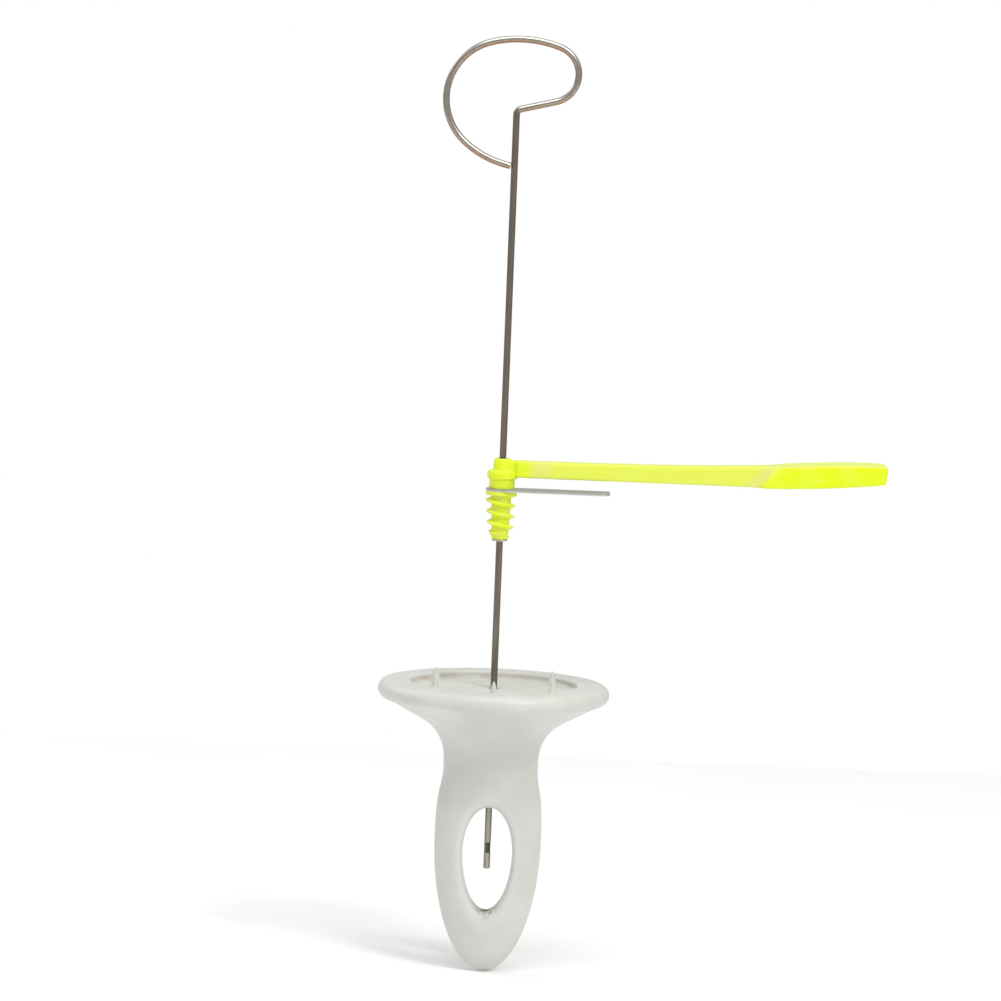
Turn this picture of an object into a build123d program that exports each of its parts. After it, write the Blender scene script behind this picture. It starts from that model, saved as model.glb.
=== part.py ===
from build123d import *
from math import cos, isclose, radians, sin, tan
import os

# Hand-turned spiral food cutter, in millimetres.
# The origin is the middle of the handle's recess floor, where the food sits. +Z runs up the
# skewer, +X runs out along the cutter arm, and -Y faces the viewer.

# Skewer: one bent wire
wire_radius = 1.0
tip_below_seat = 54.0           # how far the wire hangs through the handle
stem_above_seat = 169.8         # height of the bend under the loop
bend_radius = 1.6
shoulder_rise = 14.0            # degrees that the straight shoulder climbs
shoulder_length = 10.6
right_end_radius = 8.3
right_end_turn = 146
crown_radius = 34.0
crown_turn = 35
left_side_radius = 17.1
left_side_turn = 123.5
loop_end_drop = 15.1            # how far the wire's end lies below the bend
loop_end_gap = 0.4              # between the wire's end and the stem
wire_end_rounding = 0.35
notch_above_tip = 4.9
notch_length = 2.9
notch_depth = 0.7

# Handle: disc, trumpet, neck and finger-ring grip in one moulding
disc_radius = 34.3
disc_thickness = 5.7
recess_radius = 24.6
recess_depth = 2.0
recess_rounding = 0.6
prong_count = 6
prong_circle = 20.0
prong_height = 4.5
prong_foot_radius = 1.5
prong_tip_radius = 0.35
trumpet_radius = 13.0           # of the curve that opens the neck towards the disc
trumpet_turn = 62               # degrees of that curve
neck_half_width = 13.95
neck_half_depth = 8.4
neck_top = -21.0
neck_foot = -26.5
grip_half_width = 15.85
grip_half_depth = 7.3
grip_centre = -45.5             # level of the grip's widest section
grip_drop = 39.4                # from there to the handle's lowest point
eye_half_width = 7.35
eye_centre = -49.0              # level of the finger hole's widest section
eye_rise = 13.9
eye_drop = 17.8
eye_rounding = 2.2
flare_sections = 8              # between the disc and the neck
neck_sections = 8               # between the neck and the grip's widest level
foot_angles = (0, 15, 30, 45, 60, 72, 81, 87)      # of the sections round the grip's foot
bore_clearance = 0.08           # radial, wire in the handle
dimple_clearance = 0.2          # radial, wire's tip in the dimple under it
dimple_depth = 2.0

# Cutter arm: hub, bar and finger paddle in one moulding
arm_underside = 63.0
arm_reach = 113.6
arm_root_height = 5.0
arm_root_half_width = 3.0
arm_end_half_width = 3.8
arm_rounding = 0.8
bar_middle = 45.0               # where the bar's top starts to climb
bar_middle_rise = 0.25
paddle_start = 72.5             # where the bar starts to widen
paddle_half_width = 7.8
paddle_lean = 0.85              # how far the shoulder leans outwards for each unit of height
paddle_lift = 2.5               # rise of the paddle's underside at its end
paddle_start_rise = 1.2         # rise of the arm's top where the bar starts to widen
paddle_top_rise = 3.0           # and at the paddle's end
paddle_end_lean = 1.3
paddle_corner = 4.0
shoulder_turn = 55              # degrees of each of the two curves that widen the bar
boss_wall = 0.84                # round the sleeve's head
boss_height = 5.5               # above the arm's underside
boss_rounding = 0.75
collar_lip = 0.6                # out from the barrel
collar_drop = 0.5               # below the arm's underside
collar_height = 2.5
collar_rounding = 0.8
barrel_wall = 1.17              # round the lead screw's spigot

# Blade, lead screw and sleeve under and in the hub
slice_gap = 3.4                 # between the blade and the arm's underside
blade_thickness = 0.8
blade_width = 10.0
blade_reach = 32.0
blade_corner = 2.5
blade_bevel = 1.8
blade_edge = 0.15               # thickness left at the ground edge
screw_pitch = 3.2
screw_length = 14.2
screw_flange_lip = 0.8          # out from the hub's barrel
screw_flange_thickness = 1.2
screw_root_wall = 1.39          # round the sleeve, under the flange
screw_foot_wall = 0.69          # and at the foot
thread_height = 1.4
thread_foot_width = 1.7
thread_crest_width = 0.35
thread_taper = 4.0              # degrees that the thread's crest draws in towards the foot
thread_lead = 3.0               # height over which the thread grows from the foot
spigot_wall = 0.54              # round the sleeve, at the spigot's two flats
spigot_flat_depth = 0.45        # how deep each flat is cut into the round
spigot_height = 4.0
spigot_clearance = 0.03
sleeve_wall = 0.5
sleeve_slide_clearance = 0.06   # radial, sleeve on the wire
sleeve_turn_clearance = 0.05    # radial, cutter on the sleeve
sleeve_head_lip = 0.3           # out from the sleeve's wall
sleeve_head_thickness = 0.6
sleeve_head_sink = 0.2          # below the boss's top
sleeve_foot_thickness = 0.5
sleeve_end_play = 0.1

# Levels and fits that follow from the sizes above
rim_top = recess_depth
disc_bottom = rim_top - disc_thickness
rim_radius = disc_thickness / 2
rim_centre_radius = disc_radius - rim_radius
bore_radius = wire_radius + bore_clearance
dimple_radius = wire_radius + dimple_clearance
eye_top = eye_centre + eye_rise
eye_bottom = eye_centre - eye_drop
bar_taper = (arm_end_half_width - arm_root_half_width) / paddle_start
shoulder_step = paddle_half_width - arm_end_half_width
shoulder_radius = shoulder_step / 2 / (1 - cos(radians(shoulder_turn)))
boss_top = arm_underside + boss_height
blade_top = arm_underside - slice_gap
blade_bottom = blade_top - blade_thickness
flange_bottom = blade_bottom - screw_flange_thickness
screw_foot = blade_bottom - screw_length
spigot_top = blade_bottom + spigot_height
sleeve_bore_radius = wire_radius + sleeve_slide_clearance
sleeve_radius = sleeve_bore_radius + sleeve_wall
sleeve_head_radius = sleeve_radius + sleeve_head_lip
hub_bore_radius = sleeve_radius + sleeve_turn_clearance
counterbore_radius = sleeve_head_radius + sleeve_turn_clearance
boss_radius = counterbore_radius + boss_wall
spigot_flat = hub_bore_radius + spigot_wall
spigot_radius = spigot_flat + spigot_flat_depth
socket_flat = spigot_flat + spigot_clearance
socket_radius = spigot_radius + spigot_clearance
barrel_radius = socket_radius + barrel_wall
collar_radius = barrel_radius + collar_lip
screw_flange_radius = barrel_radius + screw_flange_lip
screw_root_radius = hub_bore_radius + screw_root_wall
screw_foot_radius = hub_bore_radius + screw_foot_wall
sleeve_top = boss_top - sleeve_head_sink
counterbore_floor = sleeve_top - sleeve_head_thickness - sleeve_end_play
sleeve_foot = screw_foot - sleeve_end_play - sleeve_foot_thickness
thread_start_radius = screw_flange_radius - (flange_bottom - screw_foot) * tan(radians(thread_taper))
root_top = arm_underside + arm_root_height
paddle_top = root_top + paddle_top_rise
collar_foot = arm_underside - collar_drop
collar_top = collar_foot + collar_height

os.makedirs("parts", exist_ok=True)


# Handle
def half_width(level):
    """Half width of the handle below its disc, seen from the front."""
    if level < neck_foot:
        eased = 1 - ((level - grip_centre) / (neck_foot - grip_centre)) ** 3
        return neck_half_width + (grip_half_width - neck_half_width) * eased
    if level < neck_top:
        return neck_half_width
    curve_top = neck_top + trumpet_radius * sin(radians(trumpet_turn))
    if level < curve_top:
        run = (trumpet_radius**2 - (level - neck_top) ** 2) ** 0.5
        return neck_half_width + trumpet_radius - run
    curve_width = neck_half_width + trumpet_radius * (1 - cos(radians(trumpet_turn)))
    share = (level - curve_top) / (disc_bottom - curve_top)
    return curve_width + (rim_centre_radius - curve_width) * share


def half_depth(level):
    """Half depth of the handle below its disc, seen from the side."""
    if level < neck_top:
        share = (level - grip_centre) / (neck_top - grip_centre)
        return grip_half_depth + (neck_half_depth - grip_half_depth) * share**2
    share = (level - neck_top) / (disc_bottom - neck_top)
    return half_width(level) - (neck_half_width - neck_half_depth) * (1 - share)


flare_step = (neck_top - disc_bottom) / flare_sections
neck_step = (grip_centre - neck_top) / neck_sections
flare_levels = [disc_bottom + flare_step * count for count in range(flare_sections)]
neck_levels = [neck_top + neck_step * count for count in range(neck_sections)]

with BuildPart() as handle:
    # trumpet, neck and grip through upright ellipses
    for level in flare_levels + neck_levels:
        with BuildSketch(Plane.XY.offset(level)):
            Ellipse(half_width(level), half_depth(level))
    for angle in foot_angles:
        share = cos(radians(angle))
        with BuildSketch(Plane.XY.offset(grip_centre - grip_drop * sin(radians(angle)))):
            Ellipse(grip_half_width * share, grip_half_depth * share)
    loft()

    with BuildSketch(Plane.XZ) as eye_outline:
        with BuildLine():
            EllipticalCenterArc((0, eye_centre), eye_half_width, eye_rise, 0, arc_size=180)
            EllipticalCenterArc((0, eye_centre), eye_half_width, eye_drop, 180, arc_size=180)
        make_face()
    extrude(amount=2 * grip_half_depth, both=True, mode=Mode.SUBTRACT)
    eye_edges = handle.edges().filter_by_position(Axis.Z, eye_bottom - 1, eye_top + 1)
    fillet(eye_edges.filter_by(lambda edge: edge.length > 2 * grip_half_depth), eye_rounding)

    # disc with its full-round rim and the recess that the food sits in
    with BuildSketch(Plane.XZ) as disc_profile:
        with BuildLine():
            Line((0, disc_bottom), (rim_centre_radius, disc_bottom))
            CenterArc((rim_centre_radius, disc_bottom + rim_radius), rim_radius, -90, 180)
            Polyline(
                (rim_centre_radius, rim_top),
                (recess_radius, rim_top),
                (recess_radius, 0),
                (0, 0),
                (0, disc_bottom),
            )
        make_face()
    revolve(axis=Axis.Z)
    recess_edges = handle.edges().filter_by(GeomType.CIRCLE).filter_by_position(Axis.Z, 0, rim_top)
    fillet(
        recess_edges.filter_by(lambda edge: isclose(edge.radius, recess_radius)),
        recess_rounding,
    )

    with PolarLocations(prong_circle, prong_count, start_angle=-90):
        Cone(
            prong_foot_radius,
            prong_tip_radius,
            prong_height,
            align=(Align.CENTER, Align.CENTER, Align.MIN),
        )
    Hole(bore_radius, depth=-eye_centre)
    with Locations((0, 0, eye_bottom + dimple_depth)):
        Hole(dimple_radius, depth=2 * dimple_depth)
handle.part.label = "handle"
export_step(handle.part, "parts/handle.step")

# Skewer
with BuildPart() as skewer:
    with BuildLine(Plane.XZ) as wire_path:
        stem = Line((0, -tip_below_seat), (0, stem_above_seat))
        bend = JernArc(stem @ 1, stem % 1, bend_radius, -(90 - shoulder_rise))
        shoulder = Line(bend @ 1, bend @ 1 + (bend % 1) * shoulder_length)
        right_end = JernArc(shoulder @ 1, shoulder % 1, right_end_radius, right_end_turn)
        crown = JernArc(right_end @ 1, right_end % 1, crown_radius, crown_turn)
        left_side = JernArc(crown @ 1, crown % 1, left_side_radius, left_side_turn)
        loop_end = Vector(-wire_radius - loop_end_gap, 0, stem_above_seat - loop_end_drop)
        TangentArc(left_side @ 1, loop_end, tangent=left_side % 1)
    with BuildSketch(Plane.XY.offset(-tip_below_seat)):
        Circle(wire_radius)
    sweep(path=wire_path.line)
    fillet(skewer.edges().sort_by(Axis.Z)[0], wire_end_rounding)
    with Locations((wire_radius, 0, -tip_below_seat + notch_above_tip)):
        Box(
            2 * notch_depth,
            2 * wire_radius,
            notch_length,
            align=(Align.CENTER, Align.CENTER, Align.MIN),
            mode=Mode.SUBTRACT,
        )
skewer.part.label = "skewer"
export_step(skewer.part, "parts/skewer.step")

# Cutter arm
with BuildPart() as cutter_arm:
    with BuildSketch(Plane.XZ) as side_view:
        with BuildLine():
            underside = Line((0, arm_underside), (paddle_start, arm_underside))
            lift = TangentArc(
                underside @ 1,
                (arm_reach - paddle_end_lean, arm_underside + paddle_lift),
                tangent=underside % 1,
            )
            end_face = Line(lift @ 1, (arm_reach, paddle_top - paddle_end_lean))
            end_slope = Line(end_face @ 1, (arm_reach - 2 * paddle_end_lean, paddle_top))
            top = Spline(
                end_slope @ 1,
                (paddle_start, root_top + paddle_start_rise),
                (bar_middle, root_top + bar_middle_rise),
                (0, root_top),
                tangents=((-1, 0), (-1, 0)),
            )
            Line(top @ 1, underside @ 0)
        make_face()
    extrude(amount=paddle_half_width, both=True)

    # what the bar's two sides leave out, leaning outwards with the paddle's shoulder
    cut_start = 2 * paddle_lean * arm_root_height
    cut_width = arm_root_half_width - cut_start * bar_taper
    with BuildSketch(Plane.XY.offset(arm_underside)) as beside_bar:
        with BuildLine():
            bar_side = Line((-cut_start, cut_width), (paddle_start, arm_end_half_width))
            hollow = JernArc(bar_side @ 1, bar_side % 1, shoulder_radius, shoulder_turn)
            swell = JernArc(hollow @ 1, hollow % 1, shoulder_radius, -shoulder_turn)
            Polyline(
                swell @ 1,
                ((swell @ 1).X, 2 * paddle_half_width),
                (-cut_start, 2 * paddle_half_width),
                bar_side @ 0,
            )
        make_face()
        mirror(about=Plane.XZ)
    extrude(amount=2 * arm_root_height, dir=(paddle_lean, 0, 1), mode=Mode.SUBTRACT)

    end_edges = cutter_arm.faces().sort_by(Axis.X)[-1].edges()
    fillet([edge for edge in end_edges if abs((edge % 0.5).Y) < 0.5], paddle_corner)
    long_edges = cutter_arm.edges().filter_by(lambda edge: abs((edge % 0.5).Z) < 0.5)
    fillet(long_edges.filter_by_position(Axis.X, 1, arm_reach), arm_rounding)

    with BuildSketch(Plane.XZ) as hub_profile:
        with BuildLine():
            collar_corner = (collar_radius - collar_rounding, collar_top - collar_rounding)
            boss_corner = (boss_radius - boss_rounding, boss_top - boss_rounding)
            barrel_side = Polyline(
                (0, blade_top),
                (barrel_radius, blade_top),
                (barrel_radius, collar_foot),
                (collar_radius, collar_foot),
                (collar_radius, collar_top - collar_rounding),
            )
            collar_edge = CenterArc(collar_corner, collar_rounding, 0, 90)
            boss_side = Polyline(
                collar_edge @ 1,
                (boss_radius, collar_top),
                (boss_radius, boss_top - boss_rounding),
            )
            boss_edge = CenterArc(boss_corner, boss_rounding, 0, 90)
            Polyline(boss_edge @ 1, (0, boss_top), barrel_side @ 0)
        make_face()
    revolve(axis=Axis.Z)

    with BuildSketch(Plane.XY.offset(blade_top)) as spigot_socket:
        Circle(socket_radius)
        Rectangle(2 * socket_radius, 2 * socket_flat, mode=Mode.INTERSECT)
    extrude(amount=spigot_top - blade_top + spigot_clearance, mode=Mode.SUBTRACT)
    with Locations((0, 0, boss_top)):
        CounterBoreHole(hub_bore_radius, counterbore_radius, boss_top - counterbore_floor)
cutter_arm.part.label = "cutter_arm"
export_step(cutter_arm.part, "parts/cutter_arm.step")

# Blade: a round eye clamped at the hub and a flat strip, ground to an edge along its +Y side
with BuildPart() as blade:
    with BuildSketch(Plane.XY.offset(blade_bottom)) as blade_outline:
        with Locations((blade_reach / 2, 0)):
            Rectangle(blade_reach, blade_width)
        fillet(blade_outline.vertices().group_by(Axis.X)[-1], blade_corner)
        Circle(screw_flange_radius)
    extrude(amount=blade_thickness)
    keen_edge = blade.edges().filter_by(Axis.X).group_by(Axis.Z)[-1].sort_by(Axis.Y)[-1]
    chamfer(keen_edge, blade_thickness - blade_edge, blade_bevel)
    with BuildSketch(Plane.XY.offset(blade_bottom)) as blade_eye:
        Circle(socket_radius)
        Rectangle(2 * socket_radius, 2 * socket_flat, mode=Mode.INTERSECT)
    extrude(amount=blade_thickness, mode=Mode.SUBTRACT)
blade.part.label = "blade"
export_step(blade.part, "parts/blade.step")

# Lead screw: a left-handed tapered thread under a flange, with a flatted spigot up into the hub
with BuildPart() as drive_screw:
    with Locations((0, 0, screw_foot)):
        Cone(
            screw_foot_radius,
            screw_root_radius,
            flange_bottom - screw_foot,
            align=(Align.CENTER, Align.CENTER, Align.MIN),
        )
    with BuildLine() as thread_path:
        Helix(
            screw_pitch,
            flange_bottom - screw_foot,
            thread_start_radius,
            center=(0, 0, screw_foot),
            cone_angle=thread_taper,
            lefthand=True,
        )
    thread_plane = Plane(thread_path.line @ 0, x_dir=(1, 0, 0), z_dir=thread_path.line % 0)
    with BuildSketch(thread_plane) as thread_section:
        with BuildLine():
            Polyline(
                (-thread_height, -thread_foot_width / 2),
                (0, -thread_crest_width / 2),
                (0, thread_crest_width / 2),
                (-thread_height, thread_foot_width / 2),
                close=True,
            )
        make_face()
    sweep(path=thread_path.line, is_frenet=True)

    with BuildSketch(Plane.XZ) as thread_envelope:
        with BuildLine():
            Polyline(
                (0, screw_foot),
                (screw_foot_radius, screw_foot),
                (thread_start_radius, screw_foot + thread_lead),
                (screw_flange_radius, flange_bottom),
                (0, flange_bottom),
                close=True,
            )
        make_face()
    revolve(axis=Axis.Z, mode=Mode.INTERSECT)

    with Locations((0, 0, flange_bottom)):
        Cylinder(
            screw_flange_radius,
            screw_flange_thickness,
            align=(Align.CENTER, Align.CENTER, Align.MIN),
        )
    with BuildSketch(Plane.XY.offset(blade_bottom)) as spigot:
        Circle(spigot_radius)
        Rectangle(2 * spigot_radius, 2 * spigot_flat, mode=Mode.INTERSECT)
    extrude(amount=spigot_height)
    with Locations((0, 0, spigot_top)):
        Hole(hub_bore_radius)
drive_screw.part.label = "drive_screw"
export_step(drive_screw.part, "parts/drive_screw.step")

# Sleeve: a headed tube through the hub, swaged out under the screw's foot
with BuildPart() as hub_sleeve:
    with BuildSketch(Plane.XZ) as sleeve_profile:
        with BuildLine():
            Polyline(
                (sleeve_bore_radius, sleeve_foot),
                (screw_foot_radius, sleeve_foot),
                (screw_foot_radius, sleeve_foot + sleeve_foot_thickness),
                (sleeve_radius, sleeve_foot + sleeve_foot_thickness),
                (sleeve_radius, sleeve_top - sleeve_head_thickness),
                (sleeve_head_radius, sleeve_top - sleeve_head_thickness),
                (sleeve_head_radius, sleeve_top),
                (sleeve_bore_radius, sleeve_top),
                close=True,
            )
        make_face()
    revolve(axis=Axis.Z)
hub_sleeve.part.label = "hub_sleeve"
export_step(hub_sleeve.part, "parts/hub_sleeve.step")
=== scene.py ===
import math

import bpy
from mathutils import Matrix, Vector


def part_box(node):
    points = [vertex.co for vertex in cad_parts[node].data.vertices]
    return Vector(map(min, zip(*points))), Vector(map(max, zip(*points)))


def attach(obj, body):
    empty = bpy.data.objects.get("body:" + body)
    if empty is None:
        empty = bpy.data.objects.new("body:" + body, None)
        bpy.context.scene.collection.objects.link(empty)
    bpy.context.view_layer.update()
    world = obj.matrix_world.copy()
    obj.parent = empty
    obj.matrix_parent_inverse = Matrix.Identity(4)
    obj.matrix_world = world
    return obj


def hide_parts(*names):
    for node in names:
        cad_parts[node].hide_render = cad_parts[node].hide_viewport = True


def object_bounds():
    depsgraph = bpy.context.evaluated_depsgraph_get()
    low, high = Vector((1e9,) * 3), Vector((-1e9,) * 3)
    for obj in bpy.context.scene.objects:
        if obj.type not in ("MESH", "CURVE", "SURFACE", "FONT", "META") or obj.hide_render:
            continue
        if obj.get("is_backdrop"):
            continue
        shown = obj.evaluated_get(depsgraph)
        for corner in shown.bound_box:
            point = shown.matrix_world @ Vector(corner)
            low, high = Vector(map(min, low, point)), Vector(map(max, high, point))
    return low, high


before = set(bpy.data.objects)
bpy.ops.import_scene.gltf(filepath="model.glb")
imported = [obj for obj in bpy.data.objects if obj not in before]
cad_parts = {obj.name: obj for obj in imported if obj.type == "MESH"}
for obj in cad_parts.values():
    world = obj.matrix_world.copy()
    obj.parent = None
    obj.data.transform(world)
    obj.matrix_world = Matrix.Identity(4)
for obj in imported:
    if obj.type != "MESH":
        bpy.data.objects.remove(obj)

mm = 0.001
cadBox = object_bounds()


# select, edit and finish, as by hand
def clearPicks():
    bpy.ops.object.select_all(action='DESELECT')


def only(piece):
    clearPicks()
    piece.select_set(True)
    bpy.context.view_layer.objects.active = piece


def editMode():
    bpy.ops.object.mode_set(mode='EDIT')


def objectMode():
    bpy.ops.object.mode_set(mode='OBJECT')


def pickAll(piece):
    only(piece)
    editMode()
    bpy.ops.mesh.select_all(action='SELECT')


def pick(piece, kind, test):
    # picks verts, edges or faces by their middle and their normal or direction, and stays in edit mode
    only(piece)
    editMode()
    bpy.ops.mesh.select_mode(type=kind)
    bpy.ops.mesh.select_all(action='DESELECT')
    objectMode()
    mesh = piece.data
    if kind == 'VERT':
        for vert in mesh.vertices:
            vert.select = test(vert.co, vert.normal)
    elif kind == 'EDGE':
        for edge in mesh.edges:
            start, end = [mesh.vertices[index].co for index in edge.vertices]
            edge.select = test((start + end) / 2, (end - start).normalized())
    else:
        for face in mesh.polygons:
            face.select = test(face.center, face.normal)
    editMode()


def stretch(scale, middle):
    bpy.ops.transform.resize(value=scale, center_override=middle)


def shift(x, y, z):
    bpy.ops.transform.translate(value=(x, y, z))


def extrude(x, y, z):
    bpy.ops.mesh.extrude_region_move(TRANSFORM_OT_translate={"value": (x, y, z)})


def settle(piece):
    # the place goes into the mesh, so that the object stands at the origin
    only(piece)
    bpy.ops.object.transform_apply(location=True, rotation=True, scale=True)


def pullRings(name, around, rings):
    # a skin pulled from its first ring through the others, each (half x, half y, level), left in edit mode
    clearPicks()
    bpy.ops.mesh.primitive_circle_add(vertices=around, radius=rings[0][0], location=(0, 0, rings[0][2]))
    skin = bpy.context.object
    skin.name = name
    settle(skin)
    pickAll(skin)
    for (oldX, oldY, oldLevel), (halfX, halfY, level) in zip(rings, rings[1:]):
        extrude(0, 0, level - oldLevel)
        stretch((halfX / oldX, halfY / oldY, 1), (0, 0, level))
    return skin


def roundRings(profile):
    return [(radius, radius, level) for radius, level in profile]


def turnTube(name, around, profile):
    # a closed outline of (radius, level) corners turned about the skewer's axis
    piece = pullRings(name, around, roundRings(profile + profile[:1]))
    objectMode()
    tidyNormals(piece)
    return piece


def turnSolid(name, around, profile):
    # an outline turned about the skewer's axis and closed by a flat face at both ends
    piece = pullRings(name, around, roundRings(profile))
    bpy.ops.mesh.edge_face_add()
    bpy.ops.mesh.select_all(action='DESELECT')
    bpy.ops.mesh.select_non_manifold()
    bpy.ops.mesh.edge_face_add()
    objectMode()
    tidyNormals(piece)
    return piece


def newBlock(name, middle, size):
    clearPicks()
    bpy.ops.mesh.primitive_cube_add(size=1, location=middle, scale=size)
    block = bpy.context.object
    block.name = name
    settle(block)
    return block


def tidyNormals(piece, gap=0.001 * mm):
    only(piece)
    editMode()
    bpy.ops.mesh.select_mode(type='VERT')
    bpy.ops.mesh.select_all(action='SELECT')
    bpy.ops.mesh.remove_doubles(threshold=gap)
    bpy.ops.mesh.normals_make_consistent(inside=False)
    objectMode()


def modify(piece, kind, **settings):
    only(piece)
    modifier = piece.modifiers.new(kind.lower(), kind)
    for name, value in settings.items():
        setattr(modifier, name, value)
    bpy.ops.object.modifier_apply(modifier=modifier.name)


def smoothTwice(piece):
    modify(piece, 'SUBSURF', levels=2, render_levels=2)


def bevelPicked(size, segments):
    bpy.ops.mesh.bevel(offset=size, segments=segments, affect='EDGES')
    objectMode()


def cut(piece, tool, operation='DIFFERENCE'):
    modify(piece, 'BOOLEAN', operation=operation, object=tool, solver='EXACT')
    bpy.data.objects.remove(tool)


def copyOf(piece, name):
    only(piece)
    bpy.ops.object.duplicate()
    twin = bpy.context.object
    twin.name = name
    return twin


def shadeSmooth(piece, degrees=35):
    only(piece)
    bpy.ops.object.shade_smooth_by_angle(angle=math.radians(degrees))


def report(stage, piece=None):
    print("stage:", stage, len(piece.data.polygons) if piece else "")


# camera at the photo's angle, fitted to the handle's and the arm's outlines
camera = {
    "lens": 5.0949,                 # focal length in picture widths
    "sensor": 36,
    "place": (-0.000204, -1.5, 0.19621),
    "pitch": math.radians(5.343),   # looking down
    "roll": math.radians(2.285),
    "farthest": 50,
}


def makeCamera():
    s = camera
    data = bpy.data.cameras.new("photoCamera")
    data.sensor_width = s["sensor"]
    data.lens = s["lens"] * s["sensor"]
    data.clip_end = s["farthest"]
    eye = bpy.data.objects.new("photoCamera", data)
    bpy.context.scene.collection.objects.link(eye)
    tilt = Matrix.Rotation(math.pi / 2 - s["pitch"], 4, 'X')
    eye.matrix_world = Matrix.Translation(s["place"]) @ tilt @ Matrix.Rotation(s["roll"], 4, 'Z')
    bpy.context.scene.camera = eye


makeCamera()
report("camera")


# handle: one white moulding, pulled ring by ring from the recess floor to the foot
handle = {
    "around": 48,
    "floorRing": 6 * mm,
    "prongCircle": 20 * mm,
    "recessRadius": 24.6 * mm,
    "recessRounding": 0.6 * mm,
    "rimTop": 2.0 * mm,
    "rimThickness": 5.7 * mm,
    "rimSteps": 8,                  # rings round the rim
    "undersideShares": (0.12, 0.36, 0.68),
    "trumpetRadius": 13 * mm,
    "trumpetTurn": math.radians(62),
    "trumpetSteps": 5,
    "neckHalfWidth": 13.95 * mm,
    "neckHalfDepth": 8.4 * mm,
    "neckTop": -21 * mm,
    "neckFoot": -26.5 * mm,
    "gripHalfWidth": 15.85 * mm,
    "gripHalfDepth": 7.3 * mm,
    "gripMiddle": -45.5 * mm,
    "footSteps": 6,
    "footLastAngle": math.radians(86),
    "eyeHalfWidth": 7.35 * mm,
    "eyeMiddle": -49 * mm,
    "eyeRise": 13.9 * mm,
    "eyeDrop": 17.8 * mm,
    "eyeRounding": 2.9 * mm,
    "eyeMargin": 4.2 * mm,          # above and below, to the rows that stay whole
    "eyeColumns": 12,
    "eyeRows": 12,
    "guideDepth": 20 * mm,          # the eye's guide rings wait this far in front and behind
    "drillAround": 32,
    "boreRadius": 1.08 * mm,
    "boreChamfer": 0.35 * mm,
    "dimpleRadius": 1.2 * mm,
    "dimpleDepth": 2.0 * mm,
    "inside": 0.01 * mm,            # how far it keeps inside the CAD box
}


def handleWidth(level):
    s = handle
    if level < s["neckFoot"]:
        share = (level - s["gripMiddle"]) / (s["neckFoot"] - s["gripMiddle"])
        return s["neckHalfWidth"] + (s["gripHalfWidth"] - s["neckHalfWidth"]) * (1 - share ** 3)
    if level < s["neckTop"]:
        return s["neckHalfWidth"]
    run = s["trumpetRadius"] ** 2 - (level - s["neckTop"]) ** 2
    return s["neckHalfWidth"] + s["trumpetRadius"] - math.sqrt(run)


def handleDepth(level, width):
    s = handle
    if level < s["neckTop"]:
        share = (level - s["gripMiddle"]) / (s["neckTop"] - s["gripMiddle"])
        return s["gripHalfDepth"] + (s["neckHalfDepth"] - s["gripHalfDepth"]) * share ** 2
    share = (level - s["neckTop"]) / (s["rimTop"] - s["rimThickness"] - s["neckTop"])
    return width - (s["neckHalfWidth"] - s["neckHalfDepth"]) * (1 - share)


def discRings(rimMiddle):
    s = handle
    edge, up, soft = s["recessRadius"], s["rimTop"], s["recessRounding"]
    corner = soft * (1 - math.cos(math.radians(45)))
    profile = [(0.6 * s["prongCircle"], 0), (s["prongCircle"], 0), (edge - 2.5 * soft, 0), (edge - soft, 0)]
    profile += [(edge - corner, corner), (edge, soft), (edge, up - soft), (edge + corner, up - corner)]
    profile += [(edge + soft, up), (edge + 3 * soft, up), ((edge + rimMiddle) / 2 + soft, up)]
    rimRadius = s["rimThickness"] / 2
    for step in range(s["rimSteps"] + 1):
        angle = math.pi / 2 - math.pi * step / s["rimSteps"]
        level = up - rimRadius + rimRadius * math.sin(angle)
        profile.append((rimMiddle + rimRadius * math.cos(angle), level))
    return roundRings(profile)


def trumpetRings(rimMiddle):
    s = handle
    underside = s["rimTop"] - s["rimThickness"]
    curveTop = s["neckTop"] + s["trumpetRadius"] * math.sin(s["trumpetTurn"])
    widths = []
    for share in s["undersideShares"]:
        level = underside + (curveTop - underside) * share
        widths.append((rimMiddle + (handleWidth(curveTop) - rimMiddle) * share, level))
    for step in range(s["trumpetSteps"] + 1):
        turn = s["trumpetTurn"] * (1 - step / s["trumpetSteps"])
        level = s["neckTop"] + s["trumpetRadius"] * math.sin(turn)
        widths.append((handleWidth(level), level))
    return [(width, handleDepth(level, width), level) for width, level in widths]


def gripRings(top, bottom, footLevel):
    # an even row for each step down the eye, then an elliptical foot
    s = handle
    levels = [s["neckTop"] + (top - s["neckTop"]) * share for share in (0.3, 0.6)]
    levels += [top + (bottom - top) * step / s["eyeRows"] for step in range(s["eyeRows"])]
    widths = [(handleWidth(level), level) for level in levels if level > s["gripMiddle"]]
    rings = [(width, handleDepth(level, width), level) for width, level in widths]
    reach = s["gripMiddle"] - footLevel
    angles = [math.asin((s["gripMiddle"] - level) / reach) for level in levels if level <= s["gripMiddle"]]
    start = math.asin((s["gripMiddle"] - bottom) / reach)
    for step in range(s["footSteps"] + 1):
        angles.append(start + (s["footLastAngle"] - start) * step / s["footSteps"])
    for angle in angles:
        share = math.cos(angle)
        level = s["gripMiddle"] - reach * math.sin(angle)
        rings.append((s["gripHalfWidth"] * share, s["gripHalfDepth"] * share, level))
    return rings


def pickOpenEdges():
    bpy.ops.mesh.select_all(action='DESELECT')
    bpy.ops.mesh.select_non_manifold(use_multi_face=False, use_non_contiguous=False, use_verts=False)


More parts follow.
